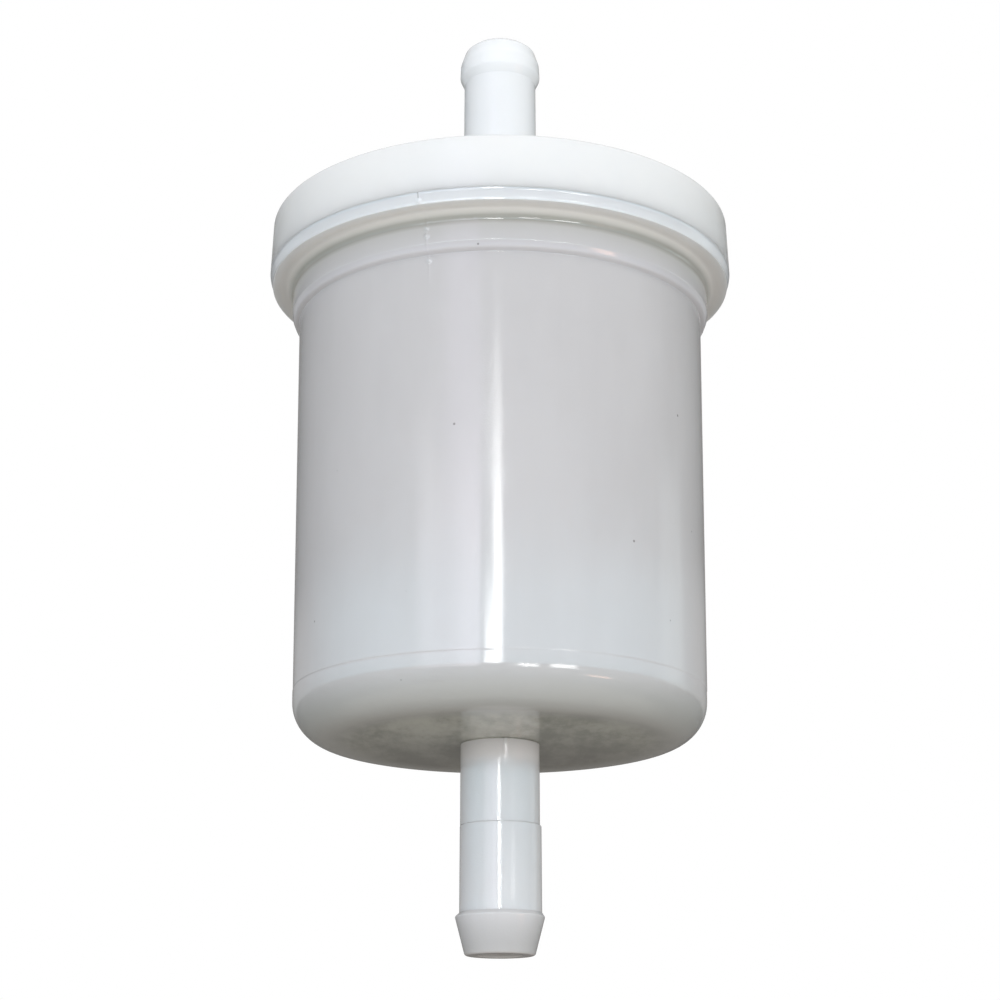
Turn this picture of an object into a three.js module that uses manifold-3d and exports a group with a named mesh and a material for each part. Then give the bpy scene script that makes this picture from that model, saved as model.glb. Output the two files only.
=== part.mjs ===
// An in-line fuel filter for a small engine: a moulded cup with a barbed outlet tube, a flanged cap
// with a barbed inlet tube, and between them a pleated paper element on a perforated core.
// Millimetres, +Z up along the filter's axis, with the origin at the centre of the outlet's end face.
import * as THREE from "three";
import { mergeVertices } from "three/addons/utils/BufferGeometryUtils.js";
import Module from "manifold-3d";

const wasm = await Module();
wasm.setup();

// Hose tubes, for a hose of 6.35 mm bore
const BORE_R = 1.95;
const ROOT_FILLET = 0.4;

// Outlet tube, from its tip up to the cup
const OUTLET_TIP_R = 3.14;
const OUTLET_TIP_ROUNDING = 0.28;
const OUTLET_BARB_R = 4.02;
const OUTLET_BARB_Z = 3.4;
const OUTLET_SHOULDER_Z = 3.75;
const OUTLET_SLEEVE_R = 3.68;
const OUTLET_SLEEVE_Z = 11.45;
const OUTLET_STEM_R = 3.6;

// Inlet tube, from the cap up to its bullet-nosed tip
const INLET_ROOT_R = 3.62;
const INLET_STEM_R = 3.54;
const INLET_SHOULDER_Z = 85.3;
const INLET_BARB_R = 3.94;
const INLET_BARB_Z = 86.1;
const INLET_TIP_Z = 89.4;
const INLET_TIP_R = 2.75;
const NOSE_STRAIGHT = 1.3;
const NOSE_SHOULDER_R = 3.6;
const NOSE_SHOULDER_DROP = 0.1;

// Cup
const CUP_BOTTOM_Z = 18.9;
const CUP_BOTTOM_R = 18.9;
const CUP_CORNER = 3.6;
const CUP_TOP_R = 19.28;
const CUP_WALL = 1.6;
const CUP_FLOOR = 1.8;
const COLLAR_Z = 59.4;
const COLLAR_R = 19.97;
const COVE_Z = 61.9;
const COVE_RADIUS = 1;
const LIP_R = 21.9;
const LIP_Z = 63.1;
const JOINT_Z = 64.1;
const FLANGE_R = 22.2;

// Socket in the cup's floor for the element's spigot
const BOSS_R = 5.4;
const BOSS_TOP_Z = 22.7;
const SOCKET_R = 3.7;
const SOCKET_FLOOR_Z = 20;

// Cap
const CAP_TOP_Z = 69.3;
const CAP_TOP_R = 22;
const CAP_EDGE = 0.3;
const CAP_PLATE = 2;
const SKIRT_OUTER_R = 17.45;
const SKIRT_INNER_R = 15.95;
const SKIRT_BOTTOM_Z = 61.4;
const SKIRT_CORNER = 1;
const RIB_COUNT = 6;
const RIB_THICKNESS = 1.2;
const RIB_START_R = 4.5;
const RIB_ROOT = 0.3;

// Filter element
const ELEMENT_TOP_Z = 62;
const TRAY_R = 15.3;
const TRAY_RIM = 0.7;
const TRAY_DEPTH = 1.6;
const TRAY_PLATE = 1.3;
const TRAY_EDGE = 0.3;
const POTTING_DEPTH = 1.1;
const SPIGOT_R = 2.6;
const SPIGOT_BOTTOM_Z = 20.4;
const SEAL_SECTION_R = 0.5;
const SEAL_Z = 20.9;
const SEAL_SIDES = 8;
const FIT_GAP = 0.05;
const CORE_R = 5;
const CORE_WALL = 0.8;
const CORE_HOLE_R = 1;
const CORE_HOLE_SIDES = 8;
const CORE_HOLES_ROUND = 6;
const CORE_HOLE_ROWS = 7;
const PLEATS = 30;
const PAPER_THICKNESS = 0.3;
const PLEAT_INNER_R = 5.7;
const PLEAT_OUTER_R = 13.9;
const FOLD_WIDTH = 0.5;
const CLIP_DEPTH = 2.4;
const CLIP_WALL = 0.25;

const HOUSING_SEGMENTS = 64;
const INNER_SEGMENTS = 36;
const NOSE_STEPS = 5;

const plain = (color, roughness, metalness = 0) =>
  new THREE.MeshStandardMaterial({ color, roughness, metalness });
const MILKY_PLASTIC = plain(0xcfd1d2, 0.28);
const WHITE_PLASTIC = plain(0xeff2f3, 0.45);
const ELEMENT_PLASTIC = plain(0xdedfda, 0.5);
const FILTER_PAPER = plain(0xe2d5ad, 0.95);
const POTTING = plain(0xc8b07a, 0.6);
const STEEL = plain(0xb6babd, 0.35, 1);
const RUBBER = plain(0x24272a, 0.8);

const plateUnderZ = CAP_TOP_Z - CAP_PLATE;
const bottomPlateZ = BOSS_TOP_Z + TRAY_PLATE;
const topPlateZ = ELEMENT_TOP_Z - TRAY_PLATE;
const paperBottomZ = bottomPlateZ + POTTING_DEPTH;
const paperTopZ = topPlateZ - POTTING_DEPTH;

// An outline from corners [radius, height, rounding], in which a rounded corner becomes an arc.
function outline(corners, arcSteps = 3) {
  const origin = new THREE.Vector2();
  const points = [];
  corners.forEach(([radius, height, rounding = 0], i) => {
    const here = new THREE.Vector2(radius, height);
    if (rounding === 0) {
      points.push(here);
      return;
    }
    const towards = (corner) => new THREE.Vector2(corner[0], corner[1]).sub(here).normalize();
    const back = towards(corners.at(i - 1));
    const on = towards(corners[(i + 1) % corners.length]);
    const halfAngle = Math.acos(back.dot(on)) / 2;
    const reach = rounding / Math.tan(halfAngle);
    const centre = back.clone().add(on).setLength(rounding / Math.sin(halfAngle)).add(here);
    const start = back.multiplyScalar(reach).add(here).sub(centre);
    const end = on.multiplyScalar(reach).add(here).sub(centre);
    const sweep = Math.atan2(start.cross(end), start.dot(end));
    for (let step = 0; step <= arcSteps; step += 1) {
      points.push(start.clone().rotateAround(origin, (sweep * step) / arcSteps).add(centre));
    }
  });
  return points;
}

// A body turned about Z from an outline that runs up its outer side, and that either closes on
// itself or has both ends on the axis.
function turned(points, segments) {
  return new THREE.LatheGeometry(points, segments).rotateX(Math.PI / 2);
}

function turnedRing(corners, segments, arcSteps) {
  const points = outline(corners, arcSteps);
  return turned([...points, points[0]], segments);
}

function toSolid(geometry) {
  const bare = geometry.clone();
  bare.deleteAttribute("normal");
  bare.deleteAttribute("uv");
  const merged = mergeVertices(bare, 1e-4);
  return new wasm.Manifold(
    new wasm.Mesh({
      numProp: 3,
      vertProperties: merged.attributes.position.array,
      triVerts: new Uint32Array(merged.index.array),
    }),
  );
}

function toGeometry(solid) {
  const mesh = solid.getMesh();
  const geometry = new THREE.BufferGeometry();
  geometry.setAttribute("position", new THREE.BufferAttribute(mesh.vertProperties, 3));
  geometry.setIndex(new THREE.BufferAttribute(mesh.triVerts, 1));
  geometry.computeVertexNormals();
  return geometry;
}

// Cup, collar, flared lip and outlet tube, moulded in one
function cupHousing() {
  const outside = [
    [BORE_R, 0],
    [OUTLET_TIP_R, 0, OUTLET_TIP_ROUNDING],
    [OUTLET_BARB_R, OUTLET_BARB_Z],
    [OUTLET_SLEEVE_R, OUTLET_SHOULDER_Z],
    [OUTLET_SLEEVE_R, OUTLET_SLEEVE_Z],
    [OUTLET_STEM_R, OUTLET_SLEEVE_Z],
    [OUTLET_STEM_R, CUP_BOTTOM_Z, ROOT_FILLET],
    [CUP_BOTTOM_R, CUP_BOTTOM_Z, CUP_CORNER],
    [CUP_TOP_R, COLLAR_Z],
    [COLLAR_R, COLLAR_Z + COLLAR_R - CUP_TOP_R],
    [COLLAR_R, COVE_Z + COVE_RADIUS, COVE_RADIUS],
    [LIP_R, LIP_Z],
    [FLANGE_R, JOINT_Z],
  ];
  const floorZ = CUP_BOTTOM_Z + CUP_FLOOR;
  const inside = [
    [CUP_TOP_R - CUP_WALL, JOINT_Z],
    [CUP_BOTTOM_R - CUP_WALL, floorZ, CUP_CORNER - CUP_WALL],
    [BOSS_R, floorZ],
    [BOSS_R, BOSS_TOP_Z],
    [SOCKET_R, BOSS_TOP_Z],
    [SOCKET_R, SOCKET_FLOOR_Z],
    [BORE_R, SOCKET_FLOOR_Z],
  ];
  return turnedRing([...outside, ...inside], HOUSING_SEGMENTS);
}

// The barb is widest at its shoulder and curves in to a small flat end face.
function inletNose() {
  const curve = new THREE.CubicBezierCurve(
    new THREE.Vector2(INLET_BARB_R, INLET_BARB_Z),
    new THREE.Vector2(INLET_BARB_R, INLET_BARB_Z + NOSE_STRAIGHT),
    new THREE.Vector2(NOSE_SHOULDER_R, INLET_TIP_Z - NOSE_SHOULDER_DROP),
    new THREE.Vector2(INLET_TIP_R, INLET_TIP_Z),
  );
  return curve.getPoints(NOSE_STEPS).map((point) => [point.x, point.y]);
}

// Flanged cap with its plug skirt and inlet tube, and the ribs that hold the element down
function capHousing() {
  const shell = turnedRing(
    [
      [SKIRT_INNER_R, SKIRT_BOTTOM_Z],
      [SKIRT_OUTER_R, SKIRT_BOTTOM_Z],
      [SKIRT_OUTER_R, JOINT_Z],
      [FLANGE_R, JOINT_Z],
      [CAP_TOP_R, CAP_TOP_Z, CAP_EDGE],
      [INLET_ROOT_R, CAP_TOP_Z, ROOT_FILLET],
      [INLET_STEM_R, INLET_SHOULDER_Z],
      ...inletNose(),
      [BORE_R, INLET_TIP_Z],
      [BORE_R, plateUnderZ],
      [SKIRT_INNER_R, plateUnderZ, SKIRT_CORNER],
    ],
    HOUSING_SEGMENTS,
  );
  const ribLength = SKIRT_INNER_R + RIB_ROOT - RIB_START_R;
  const ribHeight = plateUnderZ + RIB_ROOT - ELEMENT_TOP_Z;
  let solid = toSolid(shell);
  for (let i = 0; i < RIB_COUNT; i += 1) {
    const rib = new THREE.BoxGeometry(ribLength, RIB_THICKNESS, ribHeight)
      .translate(RIB_START_R + ribLength / 2, 0, ELEMENT_TOP_Z + ribHeight / 2)
      .rotateZ((2 * Math.PI * i) / RIB_COUNT);
    solid = solid.add(toSolid(rib));
  }
  return toGeometry(solid);
}

// Closed tray over the inlet end of the paper, so that fuel has to go round it
function topEndDisc() {
  const corners = [
    [0, topPlateZ],
    [TRAY_R - TRAY_RIM, topPlateZ],
    [TRAY_R - TRAY_RIM, topPlateZ - TRAY_DEPTH],
    [TRAY_R, topPlateZ - TRAY_DEPTH],
    [TRAY_R, ELEMENT_TOP_Z, TRAY_EDGE],
    [0, ELEMENT_TOP_Z],
  ];
  return turned(outline(corners, 2), INNER_SEGMENTS);
}

// Open tray under the paper, with the spigot that leads clean fuel into the outlet tube
function bottomEndCollar() {
  const corners = [
    [BORE_R, SPIGOT_BOTTOM_Z],
    [SPIGOT_R, SPIGOT_BOTTOM_Z],
    [SPIGOT_R, BOSS_TOP_Z],
    [TRAY_R, BOSS_TOP_Z, TRAY_EDGE],
    [TRAY_R, bottomPlateZ + TRAY_DEPTH],
    [TRAY_R - TRAY_RIM, bottomPlateZ + TRAY_DEPTH],
    [TRAY_R - TRAY_RIM, bottomPlateZ],
    [BORE_R, bottomPlateZ],
  ];
  return turnedRing(corners, INNER_SEGMENTS, 2);
}

// The adhesive between the core and a tray's rim, in which the paper's edge is bedded
function pottingRing(lowZ) {
  const innerR = CORE_R + FIT_GAP;
  const outerR = TRAY_R - TRAY_RIM - FIT_GAP;
  const corners = [
    [innerR, lowZ],
    [outerR, lowZ],
    [outerR, lowZ + POTTING_DEPTH],
    [innerR, lowZ + POTTING_DEPTH],
  ];
  return turnedRing(corners, INNER_SEGMENTS);
}

// Tube with staggered rows of holes, which keeps the paper from folding inwards
function coreTube() {
  const tube = turnedRing(
    [
      [CORE_R - CORE_WALL, bottomPlateZ],
      [CORE_R, bottomPlateZ],
      [CORE_R, topPlateZ],
      [CORE_R - CORE_WALL, topPlateZ],
    ],
    INNER_SEGMENTS,
  );
  const pitch = (paperTopZ - paperBottomZ) / CORE_HOLE_ROWS;
  let solid = toSolid(tube);
  for (let row = 0; row < CORE_HOLE_ROWS; row += 1) {
    const stagger = (row % 2) / 2;
    for (let i = 0; i < CORE_HOLES_ROUND; i += 1) {
      const drill = new THREE.CylinderGeometry(CORE_HOLE_R, CORE_HOLE_R, 2 * CORE_WALL, CORE_HOLE_SIDES)
        .translate(0, CORE_R - CORE_WALL / 2, 0)
        .rotateZ((2 * Math.PI * (i + stagger)) / CORE_HOLES_ROUND)
        .translate(0, 0, paperBottomZ + (row + 0.5) * pitch);
      solid = solid.subtract(toSolid(drill));
    }
  }
  return toGeometry(solid);
}

// The folded sheet's centre line: a zigzag with narrow flat folds, whose two free ends stand side
// by side at the seam.
function pleatLine() {
  const points = [];
  const addFold = (radius, angle) => {
    const across = new THREE.Vector2(-Math.sin(angle), Math.cos(angle)).multiplyScalar(FOLD_WIDTH / 2);
    const middle = new THREE.Vector2(Math.cos(angle), Math.sin(angle)).multiplyScalar(radius);
    points.push(middle.clone().sub(across), middle.clone().add(across));
  };
  const pitch = (2 * Math.PI) / PLEATS;
  for (let i = 0; i < PLEATS; i += 1) {
    addFold(PLEAT_OUTER_R, i * pitch);
    addFold(PLEAT_INNER_R, (i + 0.5) * pitch);
  }
  // The first outer fold is left open: its second point starts the sheet and its first one ends it.
  const seamEnd = points.shift();
  return [...points, seamEnd];
}

// The closed outline of a sheet of even thickness round a centre line
function sheetOutline(line, thickness) {
  const directions = line.slice(1).map((point, i) => point.clone().sub(line[i]).normalize());
  const offsetSide = (sign) =>
    line.map((point, i) => {
      const into = directions[Math.max(i - 1, 0)];
      const out = directions[Math.min(i, directions.length - 1)];
      const along = into.clone().add(out).normalize();
      const mitre = thickness / 2 / along.dot(out);
      return new THREE.Vector2(-along.y, along.x).multiplyScalar(sign * mitre).add(point);
    });
  return [...offsetSide(-1), ...offsetSide(1).reverse()];
}

function pleatedPaper() {
  const shape = new THREE.Shape(sheetOutline(pleatLine(), PAPER_THICKNESS));
  const depth = paperTopZ - paperBottomZ;
  return new THREE.ExtrudeGeometry(shape, { depth, bevelEnabled: false }).translate(0, 0, paperBottomZ);
}

// Folded strip that nips the paper's two free ends together
function seamClip() {
  const slot = FOLD_WIDTH + PAPER_THICKNESS + 2 * FIT_GAP;
  const height = paperTopZ - paperBottomZ;
  const outerR = PLEAT_OUTER_R + PAPER_THICKNESS / 2 + FIT_GAP + CLIP_WALL;
  const innerR = outerR - CLIP_DEPTH;
  const half = slot / 2;
  const section = new THREE.Shape([
    new THREE.Vector2(innerR, -half - CLIP_WALL),
    new THREE.Vector2(outerR, -half - CLIP_WALL),
    new THREE.Vector2(outerR, half + CLIP_WALL),
    new THREE.Vector2(innerR, half + CLIP_WALL),
    new THREE.Vector2(innerR, half),
    new THREE.Vector2(outerR - CLIP_WALL, half),
    new THREE.Vector2(outerR - CLIP_WALL, -half),
    new THREE.Vector2(innerR, -half),
  ]);
  return new THREE.ExtrudeGeometry(section, { depth: height, bevelEnabled: false })
    .translate(0, 0, paperBottomZ);
}

// Round-section ring between the spigot and its socket
function spigotSeal() {
  const ringR = (SPIGOT_R + SOCKET_R) / 2;
  return new THREE.TorusGeometry(ringR, SEAL_SECTION_R, SEAL_SIDES, INNER_SEGMENTS).translate(0, 0, SEAL_Z);
}

const filter = new THREE.Group();
function addPart(name, geometry, material) {
  const mesh = new THREE.Mesh(geometry, material.clone());
  mesh.name = name;
  filter.add(mesh);
}

addPart("cup_housing", cupHousing(), MILKY_PLASTIC);
addPart("cap_housing", capHousing(), WHITE_PLASTIC);
addPart("top_end_disc", topEndDisc(), ELEMENT_PLASTIC);
addPart("bottom_end_collar", bottomEndCollar(), ELEMENT_PLASTIC);
addPart("top_potting", pottingRing(paperTopZ), POTTING);
addPart("bottom_potting", pottingRing(bottomPlateZ), POTTING);
addPart("core_tube", coreTube(), ELEMENT_PLASTIC);
addPart("pleated_paper", pleatedPaper(), FILTER_PAPER);
addPart("pleat_seam_clip", seamClip(), STEEL);
addPart("spigot_seal", spigotSeal(), RUBBER);

export default filter;
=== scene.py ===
"""Visual model of the in-line fuel filter: fine moulded housings, the element inside, and a soft studio."""
import math

import bmesh
import bpy
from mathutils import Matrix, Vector, noise


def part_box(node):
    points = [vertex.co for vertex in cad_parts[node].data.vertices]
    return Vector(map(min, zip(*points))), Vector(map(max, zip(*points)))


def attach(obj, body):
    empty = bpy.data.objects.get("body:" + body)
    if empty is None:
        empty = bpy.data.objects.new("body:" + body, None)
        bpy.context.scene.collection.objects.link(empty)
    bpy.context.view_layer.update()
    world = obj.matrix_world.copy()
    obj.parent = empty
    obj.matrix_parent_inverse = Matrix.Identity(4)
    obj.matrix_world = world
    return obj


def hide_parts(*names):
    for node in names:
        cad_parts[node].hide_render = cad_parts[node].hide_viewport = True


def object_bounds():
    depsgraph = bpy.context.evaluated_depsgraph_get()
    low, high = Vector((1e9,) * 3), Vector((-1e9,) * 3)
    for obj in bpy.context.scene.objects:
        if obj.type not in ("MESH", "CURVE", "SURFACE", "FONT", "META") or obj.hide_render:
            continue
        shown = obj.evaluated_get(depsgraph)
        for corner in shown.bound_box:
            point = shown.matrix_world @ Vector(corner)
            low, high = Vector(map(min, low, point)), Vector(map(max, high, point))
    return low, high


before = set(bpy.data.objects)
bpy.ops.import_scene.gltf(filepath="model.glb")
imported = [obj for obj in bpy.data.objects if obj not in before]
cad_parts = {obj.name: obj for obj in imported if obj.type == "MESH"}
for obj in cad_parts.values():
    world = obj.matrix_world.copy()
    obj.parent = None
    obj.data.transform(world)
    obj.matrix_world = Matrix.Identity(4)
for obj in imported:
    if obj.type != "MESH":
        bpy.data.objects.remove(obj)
cad_box = [list(corner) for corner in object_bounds()]

MM = 0.001
TAU = 2 * math.pi

# Places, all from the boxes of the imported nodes
_, CUP_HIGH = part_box("cup_housing")
CAP_LOW, CAP_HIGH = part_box("cap_housing")
TRAY_LOW, TRAY_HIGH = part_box("top_end_disc")
COLLAR_LOW, COLLAR_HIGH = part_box("bottom_end_collar")
TOP_BED_LOW, TOP_BED_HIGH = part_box("top_potting")
LOW_BED_LOW, LOW_BED_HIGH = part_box("bottom_potting")
CORE_LOW, CORE_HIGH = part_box("core_tube")
PAPER_LOW, PAPER_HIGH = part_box("pleated_paper")
CLIP_LOW, CLIP_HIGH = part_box("pleat_seam_clip")
SEAL_LOW, SEAL_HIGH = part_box("spigot_seal")
JOINT_Z = CUP_HIGH.z
FLANGE_R = CUP_HIGH.x

FRONT = -math.pi / 2                        # the angle about Z that faces the viewer
SEAM = FRONT - math.radians(19)             # mould parting line, left of the front
SEAMS = (SEAM, SEAM + math.pi)


# ---------------------------------------------------------------- sizes of the two housings

BORE_R = 1.95 * MM
BORE_EDGE = 0.15 * MM
STEM_R = 3.6 * MM
MOULD_RING_Z = 23.55 * MM     # where the two halves of the cup's mould met
SEAM_LOW_Z = 57.3 * MM        # the parting line fades out below this
SEAM_FADE = 1.5 * MM
SEAM_HALF_WIDTH = 0.16 * MM
SEAM_HEIGHT = 0.045 * MM
SEAM_WAVES = 900              # how fast the parting line's height varies, per metre
# Small blobs on the parting line: height in mm, and how the top leans (1 is higher at its upper end)
SEAM_BLOBS = ((63.35, -0.6), (63.0, 0), (61.55, 0.5), (60.85, 0.5), (58.75, 0.5))
BLOB_HALF_HEIGHT = 0.24 * MM
BLOB_HALF_WIDTH = 0.34 * MM
BLOB_RISE = 0.09 * MM
OUTSIDE_R = 18.5 * MM         # only the outside of the cup's wall and rim is beyond this radius
INSIDE_R = 17.8 * MM          # and the cup's hidden inside is within this one
SEAM_PART_Z = 50 * MM
WALL_FINE_Z = 58.2 * MM
RIM_STRETCH = 0.08 * MM
WALL_STRETCH = 1.2 * MM
HIDDEN_STRETCH = 2.4 * MM
CUP_BOTTOM_Z = 18.9 * MM
CUP_BOTTOM_R = 18.9 * MM
CUP_TOP_Z = 59.32 * MM
CUP_TOP_R = 19.28 * MM
CORNER_ROUNDING = 3.6 * MM
CORNER_TOP_Z = 22.9 * MM
# The line where the mould's halves met: heights of its points round MOULD_RING_Z in mm, and its groove
RING_OFFSETS = (-0.2, -0.12, -0.06, 0, 0.06, 0.12, 0.2)
RING_DEPTH = 0.007 * MM
RING_HALF_HEIGHT = 0.09 * MM
# Below it the cup stands a little to the left, outside this radius
LOWER_HALF_R = 8 * MM
LOWER_HALF_SHIFT = -0.03 * MM
# The sleeve on the outlet tube stands a little to the right
SLEEVE_LOW_Z = 3.6 * MM
SLEEVE_TOP_Z = 11.5 * MM
SLEEVE_INNER_R = STEM_R - 0.6 * MM
SLEEVE_OUTER_R = 5 * MM
SLEEVE_SHIFT = 0.06 * MM
WEB = FRONT + math.radians(8.4)    # a sliver left at the root of the outlet tube
WEB_LOW_Z = 17.2 * MM
WEB_RISE = 0.15 * MM
WEB_FLAT = 0.12 * MM               # half its width at its top, and then at its foot
WEB_FOOT = 0.26 * MM
FLOOR_TOP_Z = 20.7 * MM            # the cup's floor inside
FLOOR_TUBE_Z = 20 * MM
SOCKET_R = 5.4 * MM                # the round socket in the floor that holds the element's spigot
SOCKET_STEP_R = 3.7 * MM
CAP_SKIRT_INNER_R = 15.95 * MM
CAP_SKIRT_OUTER_R = 17.45 * MM
CAP_TOP_Z = 69.3 * MM
CAP_CEILING_Z = 67.3 * MM
SINK_INNER_R = 5 * MM              # the sinks over the cap's ribs run between these radii
SINK_OUTER_R = 21 * MM
SINK_DEPTH = 0.03 * MM
SINK_HALF_WIDTH = 1.4 * MM
RIBS = 6


# ---------------------------------------------------------------- geometry helpers

def smoothstep(low, high, value):
    """0 up to low, 1 from high on, and a smooth rise between them."""
    t = max(0.0, min(1.0, (value - low) / (high - low)))
    return t * t * (3 - 2 * t)


def bump_at(centre, half, value):
    """1 at centre, falling smoothly to 0 at half away from it."""
    return 1 - smoothstep(0, half, abs(value - centre))


def angle_off(angle, centre):
    """The signed angle from centre, within half a turn."""
    return (angle - centre + math.pi) % TAU - math.pi


ROUND_STEPS = 6
LARGE_ROUNDING = 0.9 * MM    # a rounding from this size on gets three times the steps
MATCHING = 0.001 * MM        # places this close count as the same


def rounded(corners, steps=ROUND_STEPS, hidden_from=None):
    """Points of a closed outline of (radius, height, rounding) corners, with arcs at the rounded ones.

    Corners from the place hidden_from on are inside the part, and get a third of the steps.
    """
    points = []
    for i, (r, z, rounding) in enumerate(corners):
        here = Vector((r, z))
        if not rounding:
            points.append(here)
            continue
        back = (Vector(corners[i - 1][:2]) - here).normalized()
        on = (Vector(corners[(i + 1) % len(corners)][:2]) - here).normalized()
        half = math.acos(max(-1.0, min(1.0, back.dot(on)))) / 2
        centre = here + (back + on).normalized() * (rounding / math.sin(half))
        start = here + back * (rounding / math.tan(half)) - centre
        end = here + on * (rounding / math.tan(half)) - centre
        sweep = math.atan2(start.x * end.y - start.y * end.x, start.dot(end))
        count = steps if rounding < LARGE_ROUNDING else 3 * steps
        if hidden_from is not None and i >= hidden_from:
            count //= 3
        for k in range(count + 1):
            a = sweep * k / count
            points.append(centre + Vector((start.x * math.cos(a) - start.y * math.sin(a),
                                           start.x * math.sin(a) + start.y * math.cos(a))))
    return points


def divided(points, longest, special=None):
    """The closed outline with no stretch longer than longest, or than special says for that stretch."""
    result = []
    for i, point in enumerate(points):
        after = points[(i + 1) % len(points)]
        limit = (special and special(point, after)) or longest
        count = max(1, math.ceil((after - point).length / limit))
        result += [point.lerp(after, k / count) for k in range(count)]
    return result


def angles_round(count, fine_at=(), fine_half=0.0, fine_count=1):
    """Angles right round, with extra ones on both sides of each angle in fine_at."""
    angles = {round(TAU * i / count, 7) for i in range(count)}
    for centre in fine_at:
        for k in range(-fine_count, fine_count + 1):
            angles.add(round((centre + fine_half * k / fine_count) % TAU, 7))
    return sorted(angles)


def lathe(points, angles, shape=None):
    """A closed body turned about Z from an outline. shape moves each point of it."""
    bm = bmesh.new()
    rings = []
    for angle in angles:
        ring = []
        for point in points:
            place = Vector((point.x * math.cos(angle), point.x * math.sin(angle), point.y))
            if shape:
                place = shape(point.x, point.y, angle, place)
            ring.append(bm.verts.new(place))
        rings.append(ring)
    for i, ring in enumerate(rings):
        after = rings[(i + 1) % len(rings)]
        for j, vert in enumerate(ring):
            k = (j + 1) % len(ring)
            bm.faces.new((vert, after[j], after[k], ring[k]))
    return bm


def add_piece(name, bm, material, nodes, sharp=34):
    """Makes the object, smooth but for edges over sharp degrees, sets it under the root body, and hides the
    nodes it stands for.
    """
    bmesh.ops.recalc_face_normals(bm, faces=bm.faces)
    for face in bm.faces:
        face.smooth = True
    limit = math.radians(sharp)
    for edge in bm.edges:
        edge.smooth = edge.calc_face_angle(0.0) < limit
    mesh = bpy.data.meshes.new(name)
    bm.to_mesh(mesh)
    bm.free()
    mesh.materials.append(material)
    piece = bpy.data.objects.new(name, mesh)
    bpy.context.scene.collection.objects.link(piece)
    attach(piece, "root")
    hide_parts(*nodes)
    return piece


# ---------------------------------------------------------------- material helpers

class Nodes:
    """A material's node tree, with short calls for the nodes used here."""

    def __init__(self, name):
        self.material = bpy.data.materials.new(name)
        self.material.use_nodes = True
        self.tree = self.material.node_tree
        self.shader = self.tree.nodes["Principled BSDF"]
        self.place = self.tree.nodes.new("ShaderNodeTexCoord").outputs["Object"]

    def new(self, kind, **settings):
        node = self.tree.nodes.new(kind)
        for key, value in settings.items():
            setattr(node, key, value)
        return node

    def link(self, source, target):
        self.tree.links.new(source, target)

    def set(self, **values):
        """Set the shader's own sockets, with _ for the spaces in their names."""
        for key, value in values.items():
            self.shader.inputs[key.replace("_", " ")].default_value = value

    def parts_of_place(self):
        """x, y and z of the place on the object."""
        node = self.new("ShaderNodeSeparateXYZ")
        self.link(self.place, node.inputs[0])
        return node.outputs

    def stretched(self, scale):
        node = self.new("ShaderNodeMapping")
        node.inputs["Scale"].default_value = scale
        self.link(self.place, node.inputs["Vector"])
        return node.outputs["Vector"]

    def noise(self, scale, detail=3.0, rough=0.5, stretch=(1, 1, 1)):
        node = self.new("ShaderNodeTexNoise")
        node.inputs["Scale"].default_value = scale
        node.inputs["Detail"].default_value = detail
        node.inputs["Roughness"].default_value = rough
        self.link(self.stretched(stretch), node.inputs["Vector"])
        return node.outputs["Fac"]

    def spots(self, scale, size):
        """1 inside small scattered round spots."""
        node = self.new("ShaderNodeTexVoronoi")
        node.inputs["Scale"].default_value = scale
        self.link(self.place, node.inputs["Vector"])
        return self.ranged(node.outputs["Distance"], size, size * 0.5)

    def ranged(self, value, from_low, from_high, to_low=0, to_high=1):
        """value carried smoothly from the first range to the second, and held at its ends."""
        node = self.new("ShaderNodeMapRange", interpolation_type="SMOOTHSTEP")
        for key, number in zip(("From Min", "From Max", "To Min", "To Max"),
                               (from_low, from_high, to_low, to_high)):
            node.inputs[key].default_value = number
        self.link(value, node.inputs["Value"])
        return node.outputs["Result"]

    def maths(self, operation, a, b=0.0):
        node = self.new("ShaderNodeMath", operation=operation)
        for socket, value in zip(node.inputs, (a, b)):
            if isinstance(value, (int, float)):
                socket.default_value = value
            else:
                self.link(value, socket)
        return node.outputs[0]

    def mix(self, factor, a, b):
        node = self.new("ShaderNodeMix", data_type="RGBA")
        self.link(factor, node.inputs["Factor"])
        for socket, colour in zip((node.inputs[6], node.inputs[7]), (a, b)):
            if isinstance(colour, tuple):
                socket.default_value = (*colour, 1)
            else:
                self.link(colour, socket)
        return node.outputs[2]

    def bump(self, height, distance, under=None):
        node = self.new("ShaderNodeBump")
        node.inputs["Strength"].default_value = 1.0
        node.inputs["Distance"].default_value = distance
        self.link(height, node.inputs["Height"])
        if under:
            self.link(under, node.inputs["Normal"])
        return node.outputs["Normal"]

    def speckled(self, body, scale, size, share, speck):
        """The colour body with small scattered specks mixed in by that share."""
        return self.mix(self.maths("MULTIPLY", self.spots(scale, size), share), body, speck)

    def colour(self, socket):
        self.link(socket, self.shader.inputs["Base Color"])

    def roughness(self, socket):
        self.link(socket, self.shader.inputs["Roughness"])

    def normal(self, socket):
        self.link(socket, self.shader.inputs["Normal"])


# ---------------------------------------------------------------- materials

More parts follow.
